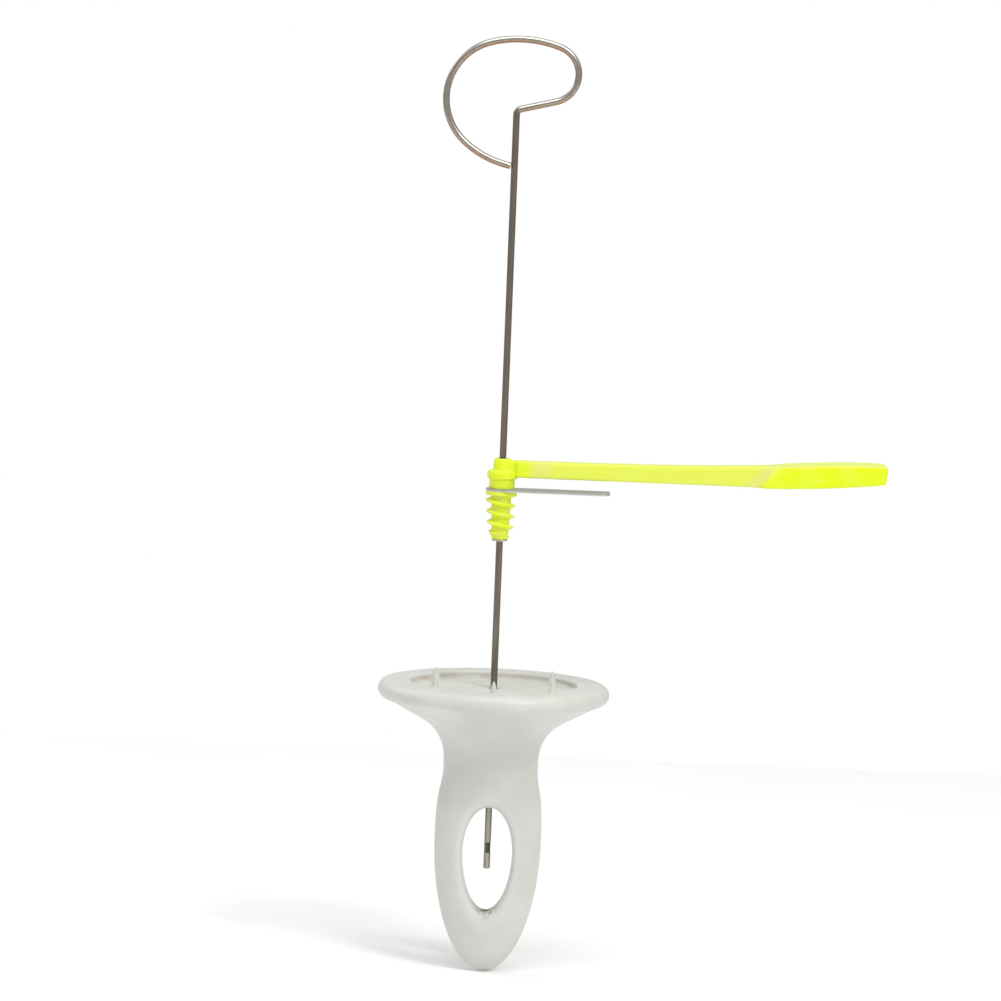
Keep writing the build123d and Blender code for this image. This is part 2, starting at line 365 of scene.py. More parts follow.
def openEye(piece, top, bottom):
    # faces in front and behind come out, an elliptical ring goes in on each side and is bridged
    s = handle
    whole = copyOf(piece, "wholeHandle")
    smoothTwice(whole)
    columnEdge = math.sin(math.pi * s["eyeColumns"] / s["around"])
    nextEdge = math.sin(math.pi * (s["eyeColumns"] + 2) / s["around"])
    limit = (columnEdge + nextEdge) / 2 - 0.05
    reach = s["gripMiddle"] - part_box("handle")[0].z

    def inPatch(middle, normal):
        if not bottom < middle.z < top:
            return False
        below = max(0, s["gripMiddle"] - middle.z)
        width = handleWidth(middle.z) if below == 0 else s["gripHalfWidth"]
        return abs(middle.x) < limit * width * math.sqrt(1 - (below / reach) ** 2)

    pick(piece, 'FACE', inPatch)
    bpy.ops.mesh.delete(type='FACE')
    count = 2 * (s["eyeColumns"] + s["eyeRows"])
    for side in (-1, 1):
        bpy.ops.mesh.select_all(action='DESELECT')
        middle = (0, side * s["guideDepth"], s["eyeMiddle"])
        upright = (math.pi / 2, 0, 0)
        bpy.ops.mesh.primitive_circle_add(vertices=count, radius=1, location=middle, rotation=upright)
        stretch((s["eyeHalfWidth"], 1, s["eyeRise"]), middle)
    objectMode()

    def onGuide(place):
        return abs(abs(place.y) - s["guideDepth"]) < mm and abs(place.z - s["eyeMiddle"]) < s["eyeDrop"] + mm

    pick(piece, 'VERT', lambda place, normal: onGuide(place) and place.z < s["eyeMiddle"])
    stretch((1, 1, s["eyeDrop"] / s["eyeRise"]), (0, 0, s["eyeMiddle"]))
    objectMode()
    group = piece.vertex_groups.new(name="eyeRim")
    group.add([vert.index for vert in piece.data.vertices if onGuide(vert.co)], 1, 'REPLACE')
    modify(
        piece, 'SHRINKWRAP', target=whole, wrap_method='PROJECT', use_project_y=True,
        use_negative_direction=True, use_positive_direction=True, vertex_group="eyeRim",
    )
    bpy.data.objects.remove(whole)
    for side in (-1, 1):
        only(piece)
        editMode()
        bpy.ops.mesh.select_mode(type='EDGE')
        pickOpenEdges()
        objectMode()
        for edge in piece.data.edges:
            middle = sum((piece.data.vertices[index].co for index in edge.vertices), Vector()) / 2
            edge.select = edge.select and middle.y * side > 0
        editMode()
        bpy.ops.mesh.bridge_edge_loops()
        objectMode()
    only(piece)
    editMode()
    pickOpenEdges()
    bpy.ops.mesh.bridge_edge_loops(number_cuts=2, interpolation='LINEAR')
    objectMode()
    tidyNormals(piece)

    def onRim(middle, along):
        rise = s["eyeRise"] if middle.z > s["eyeMiddle"] else s["eyeDrop"]
        share = (middle.x / s["eyeHalfWidth"]) ** 2 + ((middle.z - s["eyeMiddle"]) / rise) ** 2
        return 0.9 < share < 1.01 and abs(middle.y) > s["gripHalfDepth"] / 2 and abs(along.y) < 0.7

    pick(piece, 'EDGE', onRim)
    bevelPicked(s["eyeRounding"], 3)


def drillHandle(piece):
    # the wire's bore with a chamfered mouth, and the dimple in the foot of the eye
    s = handle
    eyeBottom = s["eyeMiddle"] - s["eyeDrop"]
    bore, chamfer, dimple = s["boreRadius"], s["boreChamfer"], s["dimpleRadius"]
    drills = {
        "boreDrill": [(bore, s["eyeMiddle"]), (bore, -chamfer), (bore + 2 * chamfer, chamfer)],
        "dimpleDrill": [(dimple, eyeBottom - s["dimpleDepth"]), (dimple, s["eyeMiddle"])],
    }
    for name, profile in drills.items():
        cut(piece, turnSolid(name, s["drillAround"], profile))


prongs = {
    "count": 6,
    "around": 24,
    "footRadius": 1.5 * mm,
    "tipRadius": 0.35 * mm,
    "height": 4.5 * mm,
    "taper": 0.2556,                # radius lost for each unit of height
    "flare": 0.35 * mm,
    "flareHeight": 0.7 * mm,
    "sink": 0.5 * mm,
}


def makeProng():
    # a thorn with a flared foot and a round tip, sunk a little into the recess floor
    s = prongs
    tip = s["tipRadius"]
    profile = [(s["footRadius"] + s["flare"], -s["sink"])]
    for share in (0, 0.25, 0.5, 0.75, 1):
        level = share * s["flareHeight"]
        profile.append((s["footRadius"] - s["taper"] * level + s["flare"] * (1 - share) ** 2, level))
    profile.append((tip + s["taper"] * s["height"] / 3, s["height"] * 2 / 3))
    for angle in (0, 30, 55, 75):
        turn = math.radians(angle)
        profile.append((tip * math.cos(turn), s["height"] - tip + tip * math.sin(turn)))
    return turnSolid("prong", s["around"], profile)


def plantProngs(piece):
    prong = makeProng()
    for count in range(prongs["count"]):
        turn = 2 * math.pi * count / prongs["count"] - math.pi / 2
        twin = copyOf(prong, "prongCopy")
        twin.location = (handle["prongCircle"] * math.cos(turn), handle["prongCircle"] * math.sin(turn), 0)
        settle(twin)
        cut(piece, twin, 'UNION')
    bpy.data.objects.remove(prong)


def makeHandle():
    s = handle
    low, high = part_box("handle")
    rimMiddle = high.x - s["rimThickness"] / 2
    top = s["eyeMiddle"] + s["eyeRise"] + s["eyeMargin"]
    bottom = s["eyeMiddle"] - s["eyeDrop"] - s["eyeMargin"]
    rings = roundRings([(s["floorRing"], 0)]) + discRings(rimMiddle) + trumpetRings(rimMiddle)
    piece = pullRings("handleMoulding", s["around"], rings + gripRings(top, bottom, low.z))
    bpy.ops.mesh.fill_grid()
    objectMode()
    nearRing = 1.01 * s["floorRing"]
    pick(piece, 'VERT', lambda place, normal: abs(place.z) < 0.01 * mm and place.length < nearRing)
    bpy.ops.mesh.fill_grid()
    objectMode()
    tidyNormals(piece)
    openEye(piece, top, bottom)
    smoothTwice(piece)
    # smoothing draws the form in by a tenth of a millimetre, so it is let out again
    letOut = (high.x - s["inside"]) / max(vert.co.x for vert in piece.data.vertices)
    pickAll(piece)
    stretch((letOut, letOut, 1), (0, 0, 0))
    objectMode()
    drillHandle(piece)
    plantProngs(piece)
    shadeSmooth(piece)
    return piece


body = makeHandle()
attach(body, "handle")
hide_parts("handle")
report("handle", body)


# skewer: one wire, pulled up from its tip and spun round each bend of the loop
skewer = {
    "around": 24,
    "radius": 1.0 * mm,
    "tip": -54 * mm,
    "tipRounding": 0.35 * mm,
    "stemTop": 169.79 * mm,
    "stemSteps": 12,
    "bends": [                      # radius, degrees to the left, steps, straight after it
        (1.6 * mm, -76, 10, 10.6 * mm),
        (8.3 * mm, 146, 26, 0),
        (34.0 * mm, 35, 14, 0),
        (17.1 * mm, 123.5, 28, 0),
    ],
    "endPlace": (-1.4 * mm, 154.7 * mm),
    "endSteps": 14,
    "endRounding": 0.25 * mm,
    "notchAboveTip": 4.9 * mm,
    "notchLength": 2.9 * mm,
    "notchDepth": 0.7 * mm,
    "notchTurn": math.radians(-45),
    "notchCorner": 0.25 * mm,
}


def spinWire(place, heading, radius, turn, steps):
    # bends the picked end ring by a turn in radians about a point beside the wire, left for a positive turn
    side = 1 if turn > 0 else -1
    left = Vector((-heading.z, 0, heading.x))
    centre = place + left * radius * side
    bpy.ops.mesh.spin(steps=steps, angle=turn, center=centre, axis=(0, 1, 0), use_auto_merge=False)
    swing = Matrix.Rotation(-turn, 3, 'Y')
    return centre + swing @ (place - centre), swing @ heading


def markDrawing(piece, around, ringLengths):
    # every point keeps its place round the wire and along it, for the marks of the drawing die
    values = []
    for length in ringLengths:
        for column in range(around):
            angle = 2 * math.pi * column / around
            values += [math.cos(angle), math.sin(angle), length]
    attribute = piece.data.attributes.new("drawn", 'FLOAT_VECTOR', 'POINT')
    attribute.data.foreach_set("vector", values)


def makeSkewer():
    s = skewer
    radius, soft = s["radius"], s["tipRounding"]
    profile = []
    for angle in (0, 30, 60, 90):
        turn = math.radians(angle)
        profile.append((radius - soft + soft * math.sin(turn), s["tip"] + soft * (1 - math.cos(turn))))
    foot = profile[-1][1]
    for step in range(1, s["stemSteps"] + 1):
        profile.append((radius, foot + (s["stemTop"] - foot) * step / s["stemSteps"]))
    piece = pullRings("skewerWire", s["around"], roundRings(profile))
    lengths = [level - s["tip"] for ringRadius, level in profile]
    place, heading = Vector((0, 0, s["stemTop"])), Vector((0, 0, 1))

    def bend(bendRadius, turn, steps):
        arc = abs(turn) * bendRadius
        lengths.extend(lengths[-1] + arc * step / steps for step in range(1, steps + 1))
        return spinWire(place, heading, bendRadius, turn, steps)

    for bendRadius, degrees, steps, after in s["bends"]:
        place, heading = bend(bendRadius, math.radians(degrees), steps)
        if after:
            extrude(*heading * after)
            place = place + heading * after
            lengths.append(lengths[-1] + after)
    gap = Vector((s["endPlace"][0], 0, s["endPlace"][1])) - place
    left = Vector((-heading.z, 0, heading.x))
    endRadius = gap.length_squared / (2 * gap.dot(left))
    place, heading = bend(endRadius, 2 * math.atan2(gap.dot(left), gap.dot(heading)), s["endSteps"])
    soft = s["endRounding"]
    for angle in (45, 90):
        turn = math.radians(angle)
        step = soft * (math.sin(turn) - math.sin(turn - math.pi / 4))
        before = radius - soft + soft * math.cos(turn - math.pi / 4)
        after = radius - soft + soft * math.cos(turn)
        extrude(*heading * step)
        place = place + heading * step
        stretch((after / before,) * 3, place)
        lengths.append(lengths[-1] + step)
    bpy.ops.mesh.edge_face_add()
    bpy.ops.mesh.select_all(action='DESELECT')
    objectMode()
    markDrawing(piece, s["around"], lengths)
    pick(piece, 'VERT', lambda point, normal: point.z < s["tip"] + 0.001 * mm)
    bpy.ops.mesh.edge_face_add()
    bpy.ops.mesh.select_all(action='SELECT')
    bpy.ops.mesh.normals_make_consistent(inside=False)
    objectMode()
    # a notch is filed near the tip
    middle = (radius, 0, s["tip"] + s["notchAboveTip"] + s["notchLength"] / 2)
    file = newBlock("notchFile", middle, (2 * s["notchDepth"], 4 * radius, s["notchLength"]))
    pickAll(file)
    bevelPicked(s["notchCorner"], 3)
    file.rotation_euler.z = s["notchTurn"]
    settle(file)
    cut(piece, file)
    shadeSmooth(piece, 40)
    return piece


wire = makeSkewer()
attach(wire, "skewer")
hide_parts("skewer")
report("skewer", wire)


# sleeve: a headed tube, swaged out at the foot
sleeve = {
    "around": 64,
    "boreRadius": 1.06 * mm,
    "wallRadius": 1.56 * mm,
    "headRadius": 1.86 * mm,
    "headThickness": 0.6 * mm,
    "footThickness": 0.5 * mm,
    "edge": 0.1 * mm,
}


def bevelRings(piece, corners, size, segments=3):
    # rounds the level edges of the rings at these (radius, level) corners
    def onRing(middle, along):
        radius = math.hypot(middle.x, middle.y)
        near = (abs(radius - r) < 0.03 * mm and abs(middle.z - z) < 0.02 * mm for r, z in corners)
        return abs(along.z) < 0.1 and any(near)

    pick(piece, 'EDGE', onRing)
    bevelPicked(size, segments)


def makeSleeve():
    s = sleeve
    low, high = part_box("hub_sleeve")
    bore, wall, head, foot = s["boreRadius"], s["wallRadius"], s["headRadius"], high.x
    footTop, headBottom = low.z + s["footThickness"], high.z - s["headThickness"]
    profile = [(bore, low.z), (foot, low.z), (foot, footTop), (wall, footTop)]
    profile += [(wall, headBottom), (head, headBottom), (head, high.z), (bore, high.z)]
    piece = turnTube("hubSleeve", s["around"], profile)
    bevelRings(piece, profile[:3] + profile[-2:], s["edge"])
    shadeSmooth(piece)
    return piece


tube = makeSleeve()
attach(tube, "sleeve")
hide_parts("hub_sleeve")
report("sleeve", tube)


# lead screw: a left-handed thread wound from one profile, tapered, with a flange and a flatted spigot
drive = {
    "around": 64,
    "pitch": 3.2 * mm,
    "flangeThickness": 1.2 * mm,
    "flangeBottom": 57.6 * mm,
    "spigotRadius": 2.6 * mm,
    "spigotFlat": 2.15 * mm,
    "boreRadius": 1.61 * mm,
    "boreAround": 48,
    "rootRadius": 3.0 * mm,
    "footRadius": 2.3 * mm,
    "threadFoot": 1.7 * mm,
    "threadCrest": 0.35 * mm,
    "crestDraw": 0.2,               # share of the width that the foot has lost
    "lead": 3.0 * mm,
    "edge": 0.2 * mm,
}


def newProfile(name, corners):
    # a string of points in the XZ plane, drawn by extruding one vertex
    clearPicks()
    x, z = corners[0]
    bpy.ops.mesh.primitive_plane_add(size=mm)
    profile = bpy.context.object
    profile.name = name
    pick(profile, 'VERT', lambda place, normal: place.x > 0 or place.y > 0)
    bpy.ops.mesh.delete(type='VERT')
    bpy.ops.mesh.select_all(action='SELECT')
    shift(x + mm / 2, mm / 2, z)
    for nextX, nextZ in corners[1:]:
        extrude(nextX - x, 0, nextZ - z)
        x, z = nextX, nextZ
    objectMode()
    return profile


def sawOff(piece, place, normal):
    # takes off what lies past a plane and closes the sawn face
    pickAll(piece)
    bpy.ops.mesh.bisect(
        plane_co=place, plane_no=normal, use_fill=True, clear_outer=True, threshold=0.0001 * mm,
    )
    objectMode()


def makeDriveScrew():
    s = drive
    low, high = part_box("drive_screw")
    foot, crest, root, pitch = low.z, high.x, s["rootRadius"], s["pitch"]
    flank = (s["threadFoot"] - s["threadCrest"]) / 2
    flat = (pitch - s["threadFoot"]) / 2
    corners = [(root, 0), (root, flat), (crest, flat + flank), (crest, flat + flank + s["threadCrest"])]
    corners += [(root, pitch - flat), (root, pitch)]
    height = s["flangeBottom"] - foot
    turns = math.ceil(height / pitch) + 2
    piece = newProfile("driveScrew", corners)
    modify(
        piece, 'SCREW', axis='Z', angle=2 * math.pi, screw_offset=-pitch, iterations=turns,
        steps=s["around"], render_steps=s["around"], use_merge_vertices=True,
        merge_threshold=0.01 * mm, use_smooth_shade=True,
    )
    tidyNormals(piece, 0.01 * mm)
    levels = [vert.co.z for vert in piece.data.vertices]
    tall = max(levels) - min(levels)
    pickAll(piece)
    shift(0, 0, -max(levels) + 1.5 * pitch)
    objectMode()
    taper = s["crestDraw"] * tall / height
    modify(piece, 'SIMPLE_DEFORM', deform_method='TAPER', deform_axis='Z', factor=taper)
    piece.location = (0, 0, s["flangeBottom"])
    settle(piece)
    sawOff(piece, (0, 0, s["flangeBottom"] + s["edge"]), (0, 0, 1))
    sawOff(piece, (0, 0, foot), (0, 0, -1))
    tidyNormals(piece)
    drawn = 1 - s["crestDraw"]
    leadTop = crest * (drawn + s["crestDraw"] * s["lead"] / height)
    cone = [(s["footRadius"], foot - s["edge"]), (leadTop, foot + s["lead"]), (crest * 1.1, high.z)]
    cut(piece, turnSolid("threadEnvelope", s["around"], cone), 'INTERSECT')
    flangeTop = s["flangeBottom"] + s["flangeThickness"]
    profile = [(s["boreRadius"], s["flangeBottom"]), (crest, s["flangeBottom"]), (crest, flangeTop)]
    profile += [(s["spigotRadius"], flangeTop), (s["spigotRadius"], high.z), (s["boreRadius"], high.z)]
    flange = turnTube("screwFlange", s["around"], profile)
    bevelRings(flange, profile[1:3], s["edge"])
    for side in (-1, 1):
        block = turnSolid("spigotFlat", 4, [(crest, flangeTop), (crest, high.z + s["edge"])])
        block.rotation_euler.z = math.pi / 4
        block.location.y = side * (s["spigotFlat"] + crest * math.sqrt(0.5))
        settle(block)
        cut(flange, block)
    cut(piece, flange, 'UNION')
    bore = [(s["boreRadius"], foot - mm), (s["boreRadius"], high.z + mm)]
    cut(piece, turnSolid("screwBore", s["boreAround"], bore))
    shadeSmooth(piece, 30)
    return piece


screw = makeDriveScrew()
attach(screw, "cutter")
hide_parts("drive_screw")
report("lead screw", screw)


# blade: a flat strip with a round eye, ground to an edge along its +Y side
blade = {
    "halfWidth": 5.0 * mm,
    "reach": 32.0 * mm,
    "corner": 2.5 * mm,
    "grindWidth": 1.8 * mm,
    "edgeThickness": 0.15 * mm,
    "eyeAround": 64,
    "eyeBore": 2.63 * mm,
    "burr": 0.06 * mm,
}


def makeBlade():
    s = blade
    low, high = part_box("blade")
    middle = (s["reach"] / 2, 0, (low.z + high.z) / 2)
    piece = newBlock("bladeStrip", middle, (s["reach"], 2 * s["halfWidth"], high.z - low.z))
    pick(piece, 'EDGE', lambda place, along: abs(along.z) > 0.9 and place.x > s["reach"] / 2)
    bevelPicked(s["corner"], 10)
    pick(piece, 'EDGE', lambda place, along: abs(along.z) > 0.9 and place.x < mm)
    bevelPicked(s["corner"] / 2, 6)
    cut(piece, turnSolid("bladeEye", s["eyeAround"], [(-low.x, low.z), (-low.x, high.z)]), 'UNION')
    # the grind falls away from the top to a thin edge
    fall = high.z - low.z - s["edgeThickness"]
    across = Vector((0, fall, s["grindWidth"])).normalized()
    sawOff(piece, (0, s["halfWidth"] - s["grindWidth"], high.z), across)
    bore = [(s["eyeBore"], low.z - mm), (s["eyeBore"], high.z + mm)]
    cut(piece, turnSolid("eyeDrill", s["eyeAround"], bore))
    tidyNormals(piece)
    only(piece)
    editMode()
    bpy.ops.mesh.select_all(action='DESELECT')
    bpy.ops.mesh.edges_select_sharp(sharpness=math.radians(60))
    bevelPicked(s["burr"], 2)
    shadeSmooth(piece, 30)
    return piece


strip = makeBlade()
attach(strip, "cutter")
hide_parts("blade")
report("blade", strip)


# cutter arm: a bar sawn into stations, each set to its width and height, with a turned hub
arm = {
    "underside": 63.0 * mm,
    "rootHeight": 5.0 * mm,
    "rootHalfWidth": 3.0 * mm,
    "barHalfWidth": 3.8 * mm,       # where the paddle starts
    "paddleStart": 72.5 * mm,
    "paddleHalfWidth": 7.8 * mm,
    "paddleLift": 2.5 * mm,
    "barStations": [                # place, and the share of the lean that its section has
        (9 * mm, 0), (20 * mm, 0), (32 * mm, 0), (44 * mm, 0), (54 * mm, 0),
        (61 * mm, 0.15), (66.5 * mm, 0.45), (70.5 * mm, 0.75),
    ],
    "paddleStations": [(83 * mm, 0.8), (88 * mm, 0.55), (93.5 * mm, 0.3), (100 * mm, 0.1), (106.5 * mm, 0)],
    "lean": 0.85,
    "shoulderTurn": math.radians(55),
    "shoulderSteps": 4,
    "endLean": 0.5 * mm,
    "letOut": 0.12 * mm,            # what smoothing takes off the end
    "endDrop": 0.2 * mm,            # from the paddle's top to its end's upper edge
    "endCorner": 2.4 * mm,
    "rounding": 0.8 * mm,
    "neck": [                       # place and half width between the boss and the bar
        (0.4 * mm, 1.9 * mm), (2.0 * mm, 1.95 * mm), (3.0 * mm, 1.8 * mm), (3.7 * mm, 2.2 * mm),
        (4.3 * mm, 2.85 * mm), (5.0 * mm, 3.05 * mm),
    ],
}

hub = {
    "around": 64,
    "barrelRadius": 3.8 * mm,
    "barrelBottom": 59.6 * mm,
    "collarRadius": 4.4 * mm,
    "collarBottom": 62.5 * mm,
    "collarTop": 65.0 * mm,
    "collarRounding": 0.8 * mm,
    "bossRadius": 2.75 * mm,
    "bossTop": 68.5 * mm,
    "bossRounding": 0.6 * mm,
    "bossDraft": 0.2 * mm,
    "bossRoot": 0.25 * mm,
    "boreRadius": 1.61 * mm,
    "counterboreRadius": 1.91 * mm,
    "counterboreFloor": 67.6 * mm,
    "socketRadius": 2.63 * mm,
    "socketTop": 62.83 * mm,
    "edge": 0.2 * mm,
}


def topAt(place):
    # highest level of the CAD arm at a place along it
    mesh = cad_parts["cutter_arm"].data
    top = 0
    for edge in mesh.edges:
        a, b = (mesh.vertices[index].co for index in edge.vertices)
        if (a.x - place) * (b.x - place) < 0:
            top = max(top, a.z + (b.z - a.z) * (place - a.x) / (b.x - a.x))
    return top


def armStations():
    # place at the underside, half width, and how far the section leans for each unit of height
    s = arm
    start, step = s["paddleStart"], s["paddleHalfWidth"] - s["barHalfWidth"]
    taper = (s["barHalfWidth"] - s["rootHalfWidth"]) / start
    stations = [(place, width, 0) for place, width in s["neck"]]
    for place, share in s["barStations"]:
        stations.append((place, s["rootHalfWidth"] + taper * place, share * s["lean"]))
    radius = step / 2 / (1 - math.cos(s["shoulderTurn"]))
    run = radius * math.sin(s["shoulderTurn"])
    for count in range(s["shoulderSteps"] + 1):
        turn = s["shoulderTurn"] * count / s["shoulderSteps"]
        width = s["barHalfWidth"] + radius * (1 - math.cos(turn))
        stations.append((start + radius * math.sin(turn), width, s["lean"]))
    for count in range(1, s["shoulderSteps"] + 1):
        turn = s["shoulderTurn"] * (1 - count / s["shoulderSteps"])
        width = s["paddleHalfWidth"] - radius * (1 - math.cos(turn))
        stations.append((start + 2 * run - radius * math.sin(turn), width, s["lean"]))
    for place, share in s["paddleStations"]:
        stations.append((place, s["paddleHalfWidth"], share * s["lean"]))
    return stations


def makeBar():
    s = arm
    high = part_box("cutter_arm")[1]
    bottom, height, tip = s["underside"], s["rootHeight"], high.x + s["letOut"]
    piece = newBlock("cutterArm", (tip / 2, 0, bottom + height / 2), (tip, 2 * mm, height))
    stations = armStations()
    for place, width, lean in stations:
        pickAll(piece)
        across = Vector((1, 0, -lean)).normalized()
        bpy.ops.mesh.bisect(plane_co=(place, 0, bottom), plane_no=across, threshold=0.0001 * mm)
        objectMode()
    liftRun = tip - s["endLean"] - s["paddleStart"]
    liftRadius = (liftRun ** 2 + s["paddleLift"] ** 2) / (2 * s["paddleLift"])

    def undersideAt(place):
        past = max(0, place - s["paddleStart"])
        return bottom + liftRadius - math.sqrt(liftRadius ** 2 - past ** 2)

    # the bar starts 1 mm to each side, so a width in millimetres is what each station is stretched by
    pastHub = s["barStations"][0][0]
    stations = [(0, s["neck"][0][1], 0)] + stations + [(tip, s["paddleHalfWidth"], 0)]
    for place, width, lean in stations:
        for isTop in (False, True):
            at = place + lean * height * isTop
            level = bottom + height * isTop

            def here(point, normal):
                return abs(point.x - at) < 0.01 * mm and abs(point.z - level) < 0.01 * mm

            pick(piece, 'VERT', here)
            stretch((1, width / mm, 1), (0, 0, 0))
            if not isTop:
                drawn = s["endLean"] if place == tip else 0
                shift(-drawn, 0, undersideAt(place - drawn) - level)
            elif place < tip:
                rise = max(0, topAt(max(at, pastHub)) - level)
                shift(lean * rise, 0, rise)
            else:
                shift(0, 0, high.z - s["endDrop"] - level)
            objectMode()
    tidyNormals(piece)
    pick(piece, 'EDGE', lambda point, along: abs(along.z) > 0.8 and point.x > tip - 2 * mm)
    bevelPicked(s["endCorner"], 5)
    # all sharp edges are rounded, but for those round the root, which the hub hides
    only(piece)
    editMode()
    bpy.ops.mesh.select_all(action='DESELECT')
    bpy.ops.mesh.edges_select_sharp(sharpness=math.radians(50))
    objectMode()
    for edge in piece.data.edges:
        start, end = (piece.data.vertices[index].co for index in edge.vertices)
        offRoot = min(start.x, end.x) > 0.1 * mm
        edge.select = edge.select and (offRoot or abs((end - start).normalized().x) > 0.5)
    editMode()
    bevelPicked(s["rounding"], 3)
    tidyNormals(piece)
    smoothTwice(piece)
    return piece


def makeHub():
    s = hub
    barrelFoot, barrelHead = (s["barrelRadius"], s["barrelBottom"]), (s["barrelRadius"], s["collarBottom"])
    collarFoot, collarHead = (s["collarRadius"], s["collarBottom"]), (s["collarRadius"], s["collarTop"])
    bossFoot, bossHead = (s["bossRadius"], s["collarTop"]), (s["bossRadius"] - s["bossDraft"], s["bossTop"])
    profile = [(s["barrelRadius"] / 2, s["barrelBottom"]), barrelFoot, barrelHead, collarFoot, collarHead]
    profile += [bossFoot, bossHead, (s["bossRadius"] / 2, s["bossTop"])]
    piece = turnSolid("hub", s["around"], profile)
    bevelRings(piece, [collarHead], s["collarRounding"], 6)
    bevelRings(piece, [bossHead], s["bossRounding"], 6)
    bevelRings(piece, [bossFoot], s["bossRoot"], 4)
    bevelRings(piece, [barrelFoot, collarFoot], s["edge"])
    bevelRings(piece, [barrelHead], s["edge"])
    return piece


def makeArm():
    s = hub
    piece = makeBar()
    cut(piece, makeHub(), 'UNION')
    socket, bore, sink = s["socketRadius"], s["boreRadius"], s["counterboreRadius"]
    profile = [(socket, s["barrelBottom"] - mm), (socket, s["socketTop"]), (bore, s["socketTop"])]
    profile += [(bore, s["counterboreFloor"]), (sink, s["counterboreFloor"])]
    profile += [(sink, s["bossTop"] - s["edge"]), (sink + 2 * s["edge"], s["bossTop"] + s["edge"])]
    cut(piece, turnSolid("hubDrill", s["around"], profile))
    shadeSmooth(piece)
    return piece


cutter = makeArm()
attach(cutter, "cutter")
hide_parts("cutter_arm")
report("cutter arm", cutter)


# finishes
class Flow:
    # a value on its way through a material; sums on it add Math nodes
    def __init__(self, tree, socket=None):
        self.tree = tree
        self.socket = socket

    def node(self, kind, settings=None, values=None, out=0):
        made = self.tree.nodes.new("ShaderNode" + kind)
        for name, value in (settings or {}).items():
            setattr(made, name, value)
        for key, value in (values or {}).items():
            if isinstance(value, Flow):
                self.tree.links.new(value.socket, made.inputs[key])
            else:
                made.inputs[key].default_value = value
        return Flow(self.tree, made.outputs[out])

    def math(self, operation, first, second=0.0):
        return self.node("Math", {"operation": operation}, {0: first, 1: second})

    def __add__(self, other):
        return self.math('ADD', self, other)

    def __radd__(self, other):
        return self.math('ADD', other, self)

    def __sub__(self, other):
        return self.math('SUBTRACT', self, other)

    def __rsub__(self, other):
        return self.math('SUBTRACT', other, self)

    def __mul__(self, other):
        return self.math('MULTIPLY', self, other)

    def __rmul__(self, other):
        return self.math('MULTIPLY', other, self)

    def __truediv__(self, other):
        return self.math('DIVIDE', self, other)

    def __rtruediv__(self, other):
        return self.math('DIVIDE', other, self)

    def ramp(self, start, end, low=0.0, high=1.0):
        # eases from low to high while the value goes from start to end
        return self.node(
            "MapRange", {"interpolation_type": 'SMOOTHSTEP'},
            {"Value": self, "From Min": start, "From Max": end, "To Min": low, "To Max": high},
        )

    def axes(self):
        split = self.node("SeparateXYZ", {}, {0: self}).socket.node
        return [Flow(self.tree, output) for output in split.outputs]

    def fromAxis(self):
        # how far a place is from the skewer's axis
        x, y, z = self.axes()
        return self.math('SQRT', x * x + y * y)

    def noise(self, scale, detail=2.0, roughness=0.5, stretched=None):
        # noise over a place, drawn out along an axis where its stretched value is small
        place = self.node("Mapping", {}, {"Vector": self, "Scale": stretched}) if stretched else self
        values = {"Vector": place, "Scale": scale, "Detail": detail, "Roughness": roughness}
        return self.node("TexNoise", {}, values)

    def mix(self, share, first, second):
        return self.node("Mix", {"data_type": 'RGBA'}, {0: share, 6: first, 7: second}, out=2)

    def bump(self, height, strength, distance, onto=None):
        values = {"Height": height, "Strength": strength, "Distance": distance}
        return self.node("Bump", {}, values if onto is None else {**values, "Normal": onto})


def rgb(red, green, blue):
    return (red, green, blue, 1.0)


def newFinish(name, **fixed):
    # a Principled shader with its fixed values set on its own sockets
    material = bpy.data.materials.new(name)
    material.use_nodes = True
    shader = material.node_tree.nodes["Principled BSDF"]
    for key, value in fixed.items():
        shader.inputs[key.replace("_", " ")].default_value = value
    flow = Flow(material.node_tree)
    place = flow.node("TexCoord", out=3)

    def feed(socket, value):
        material.node_tree.links.new(value.socket, shader.inputs[socket])

    return material, flow, place, feed


def turnedUp(flow):
    # how far the surface faces up
    return flow.node("TexCoord", out=1).axes()[2]


whitePlastic = {
    "colour": rgb(0.560, 0.572, 0.528),
    "cloudy": rgb(0.605, 0.615, 0.572),
    # painted highlight round the finger hole
    "holeHighlight": rgb(0.665, 0.685, 0.65),
    "scuff": rgb(0.47, 0.47, 0.44),
    "brownTint": rgb(0.40, 0.27, 0.19),
    "film": rgb(0.60, 0.50, 0.40),
    "dimpleStain": rgb(0.16, 0.085, 0.045),
    "scatter": (1.0, 0.95, 0.8),
    "scatterDepth": 1.6 * mm,
    "filmTop": 1.6 * mm,            # how high the dried film stands above the recess floor
    "dimpleMark": 2.4 * mm,
    "dimpleHalo": 6.8 * mm,
    "partingTop": -3.5 * mm,
    "partingHalfWidth": 0.11 * mm,
    "grain": 2600,                  # moulded grain, in spots for each metre
    "grainHeight": 0.02 * mm,
    "sinkHeight": 0.25 * mm,
}


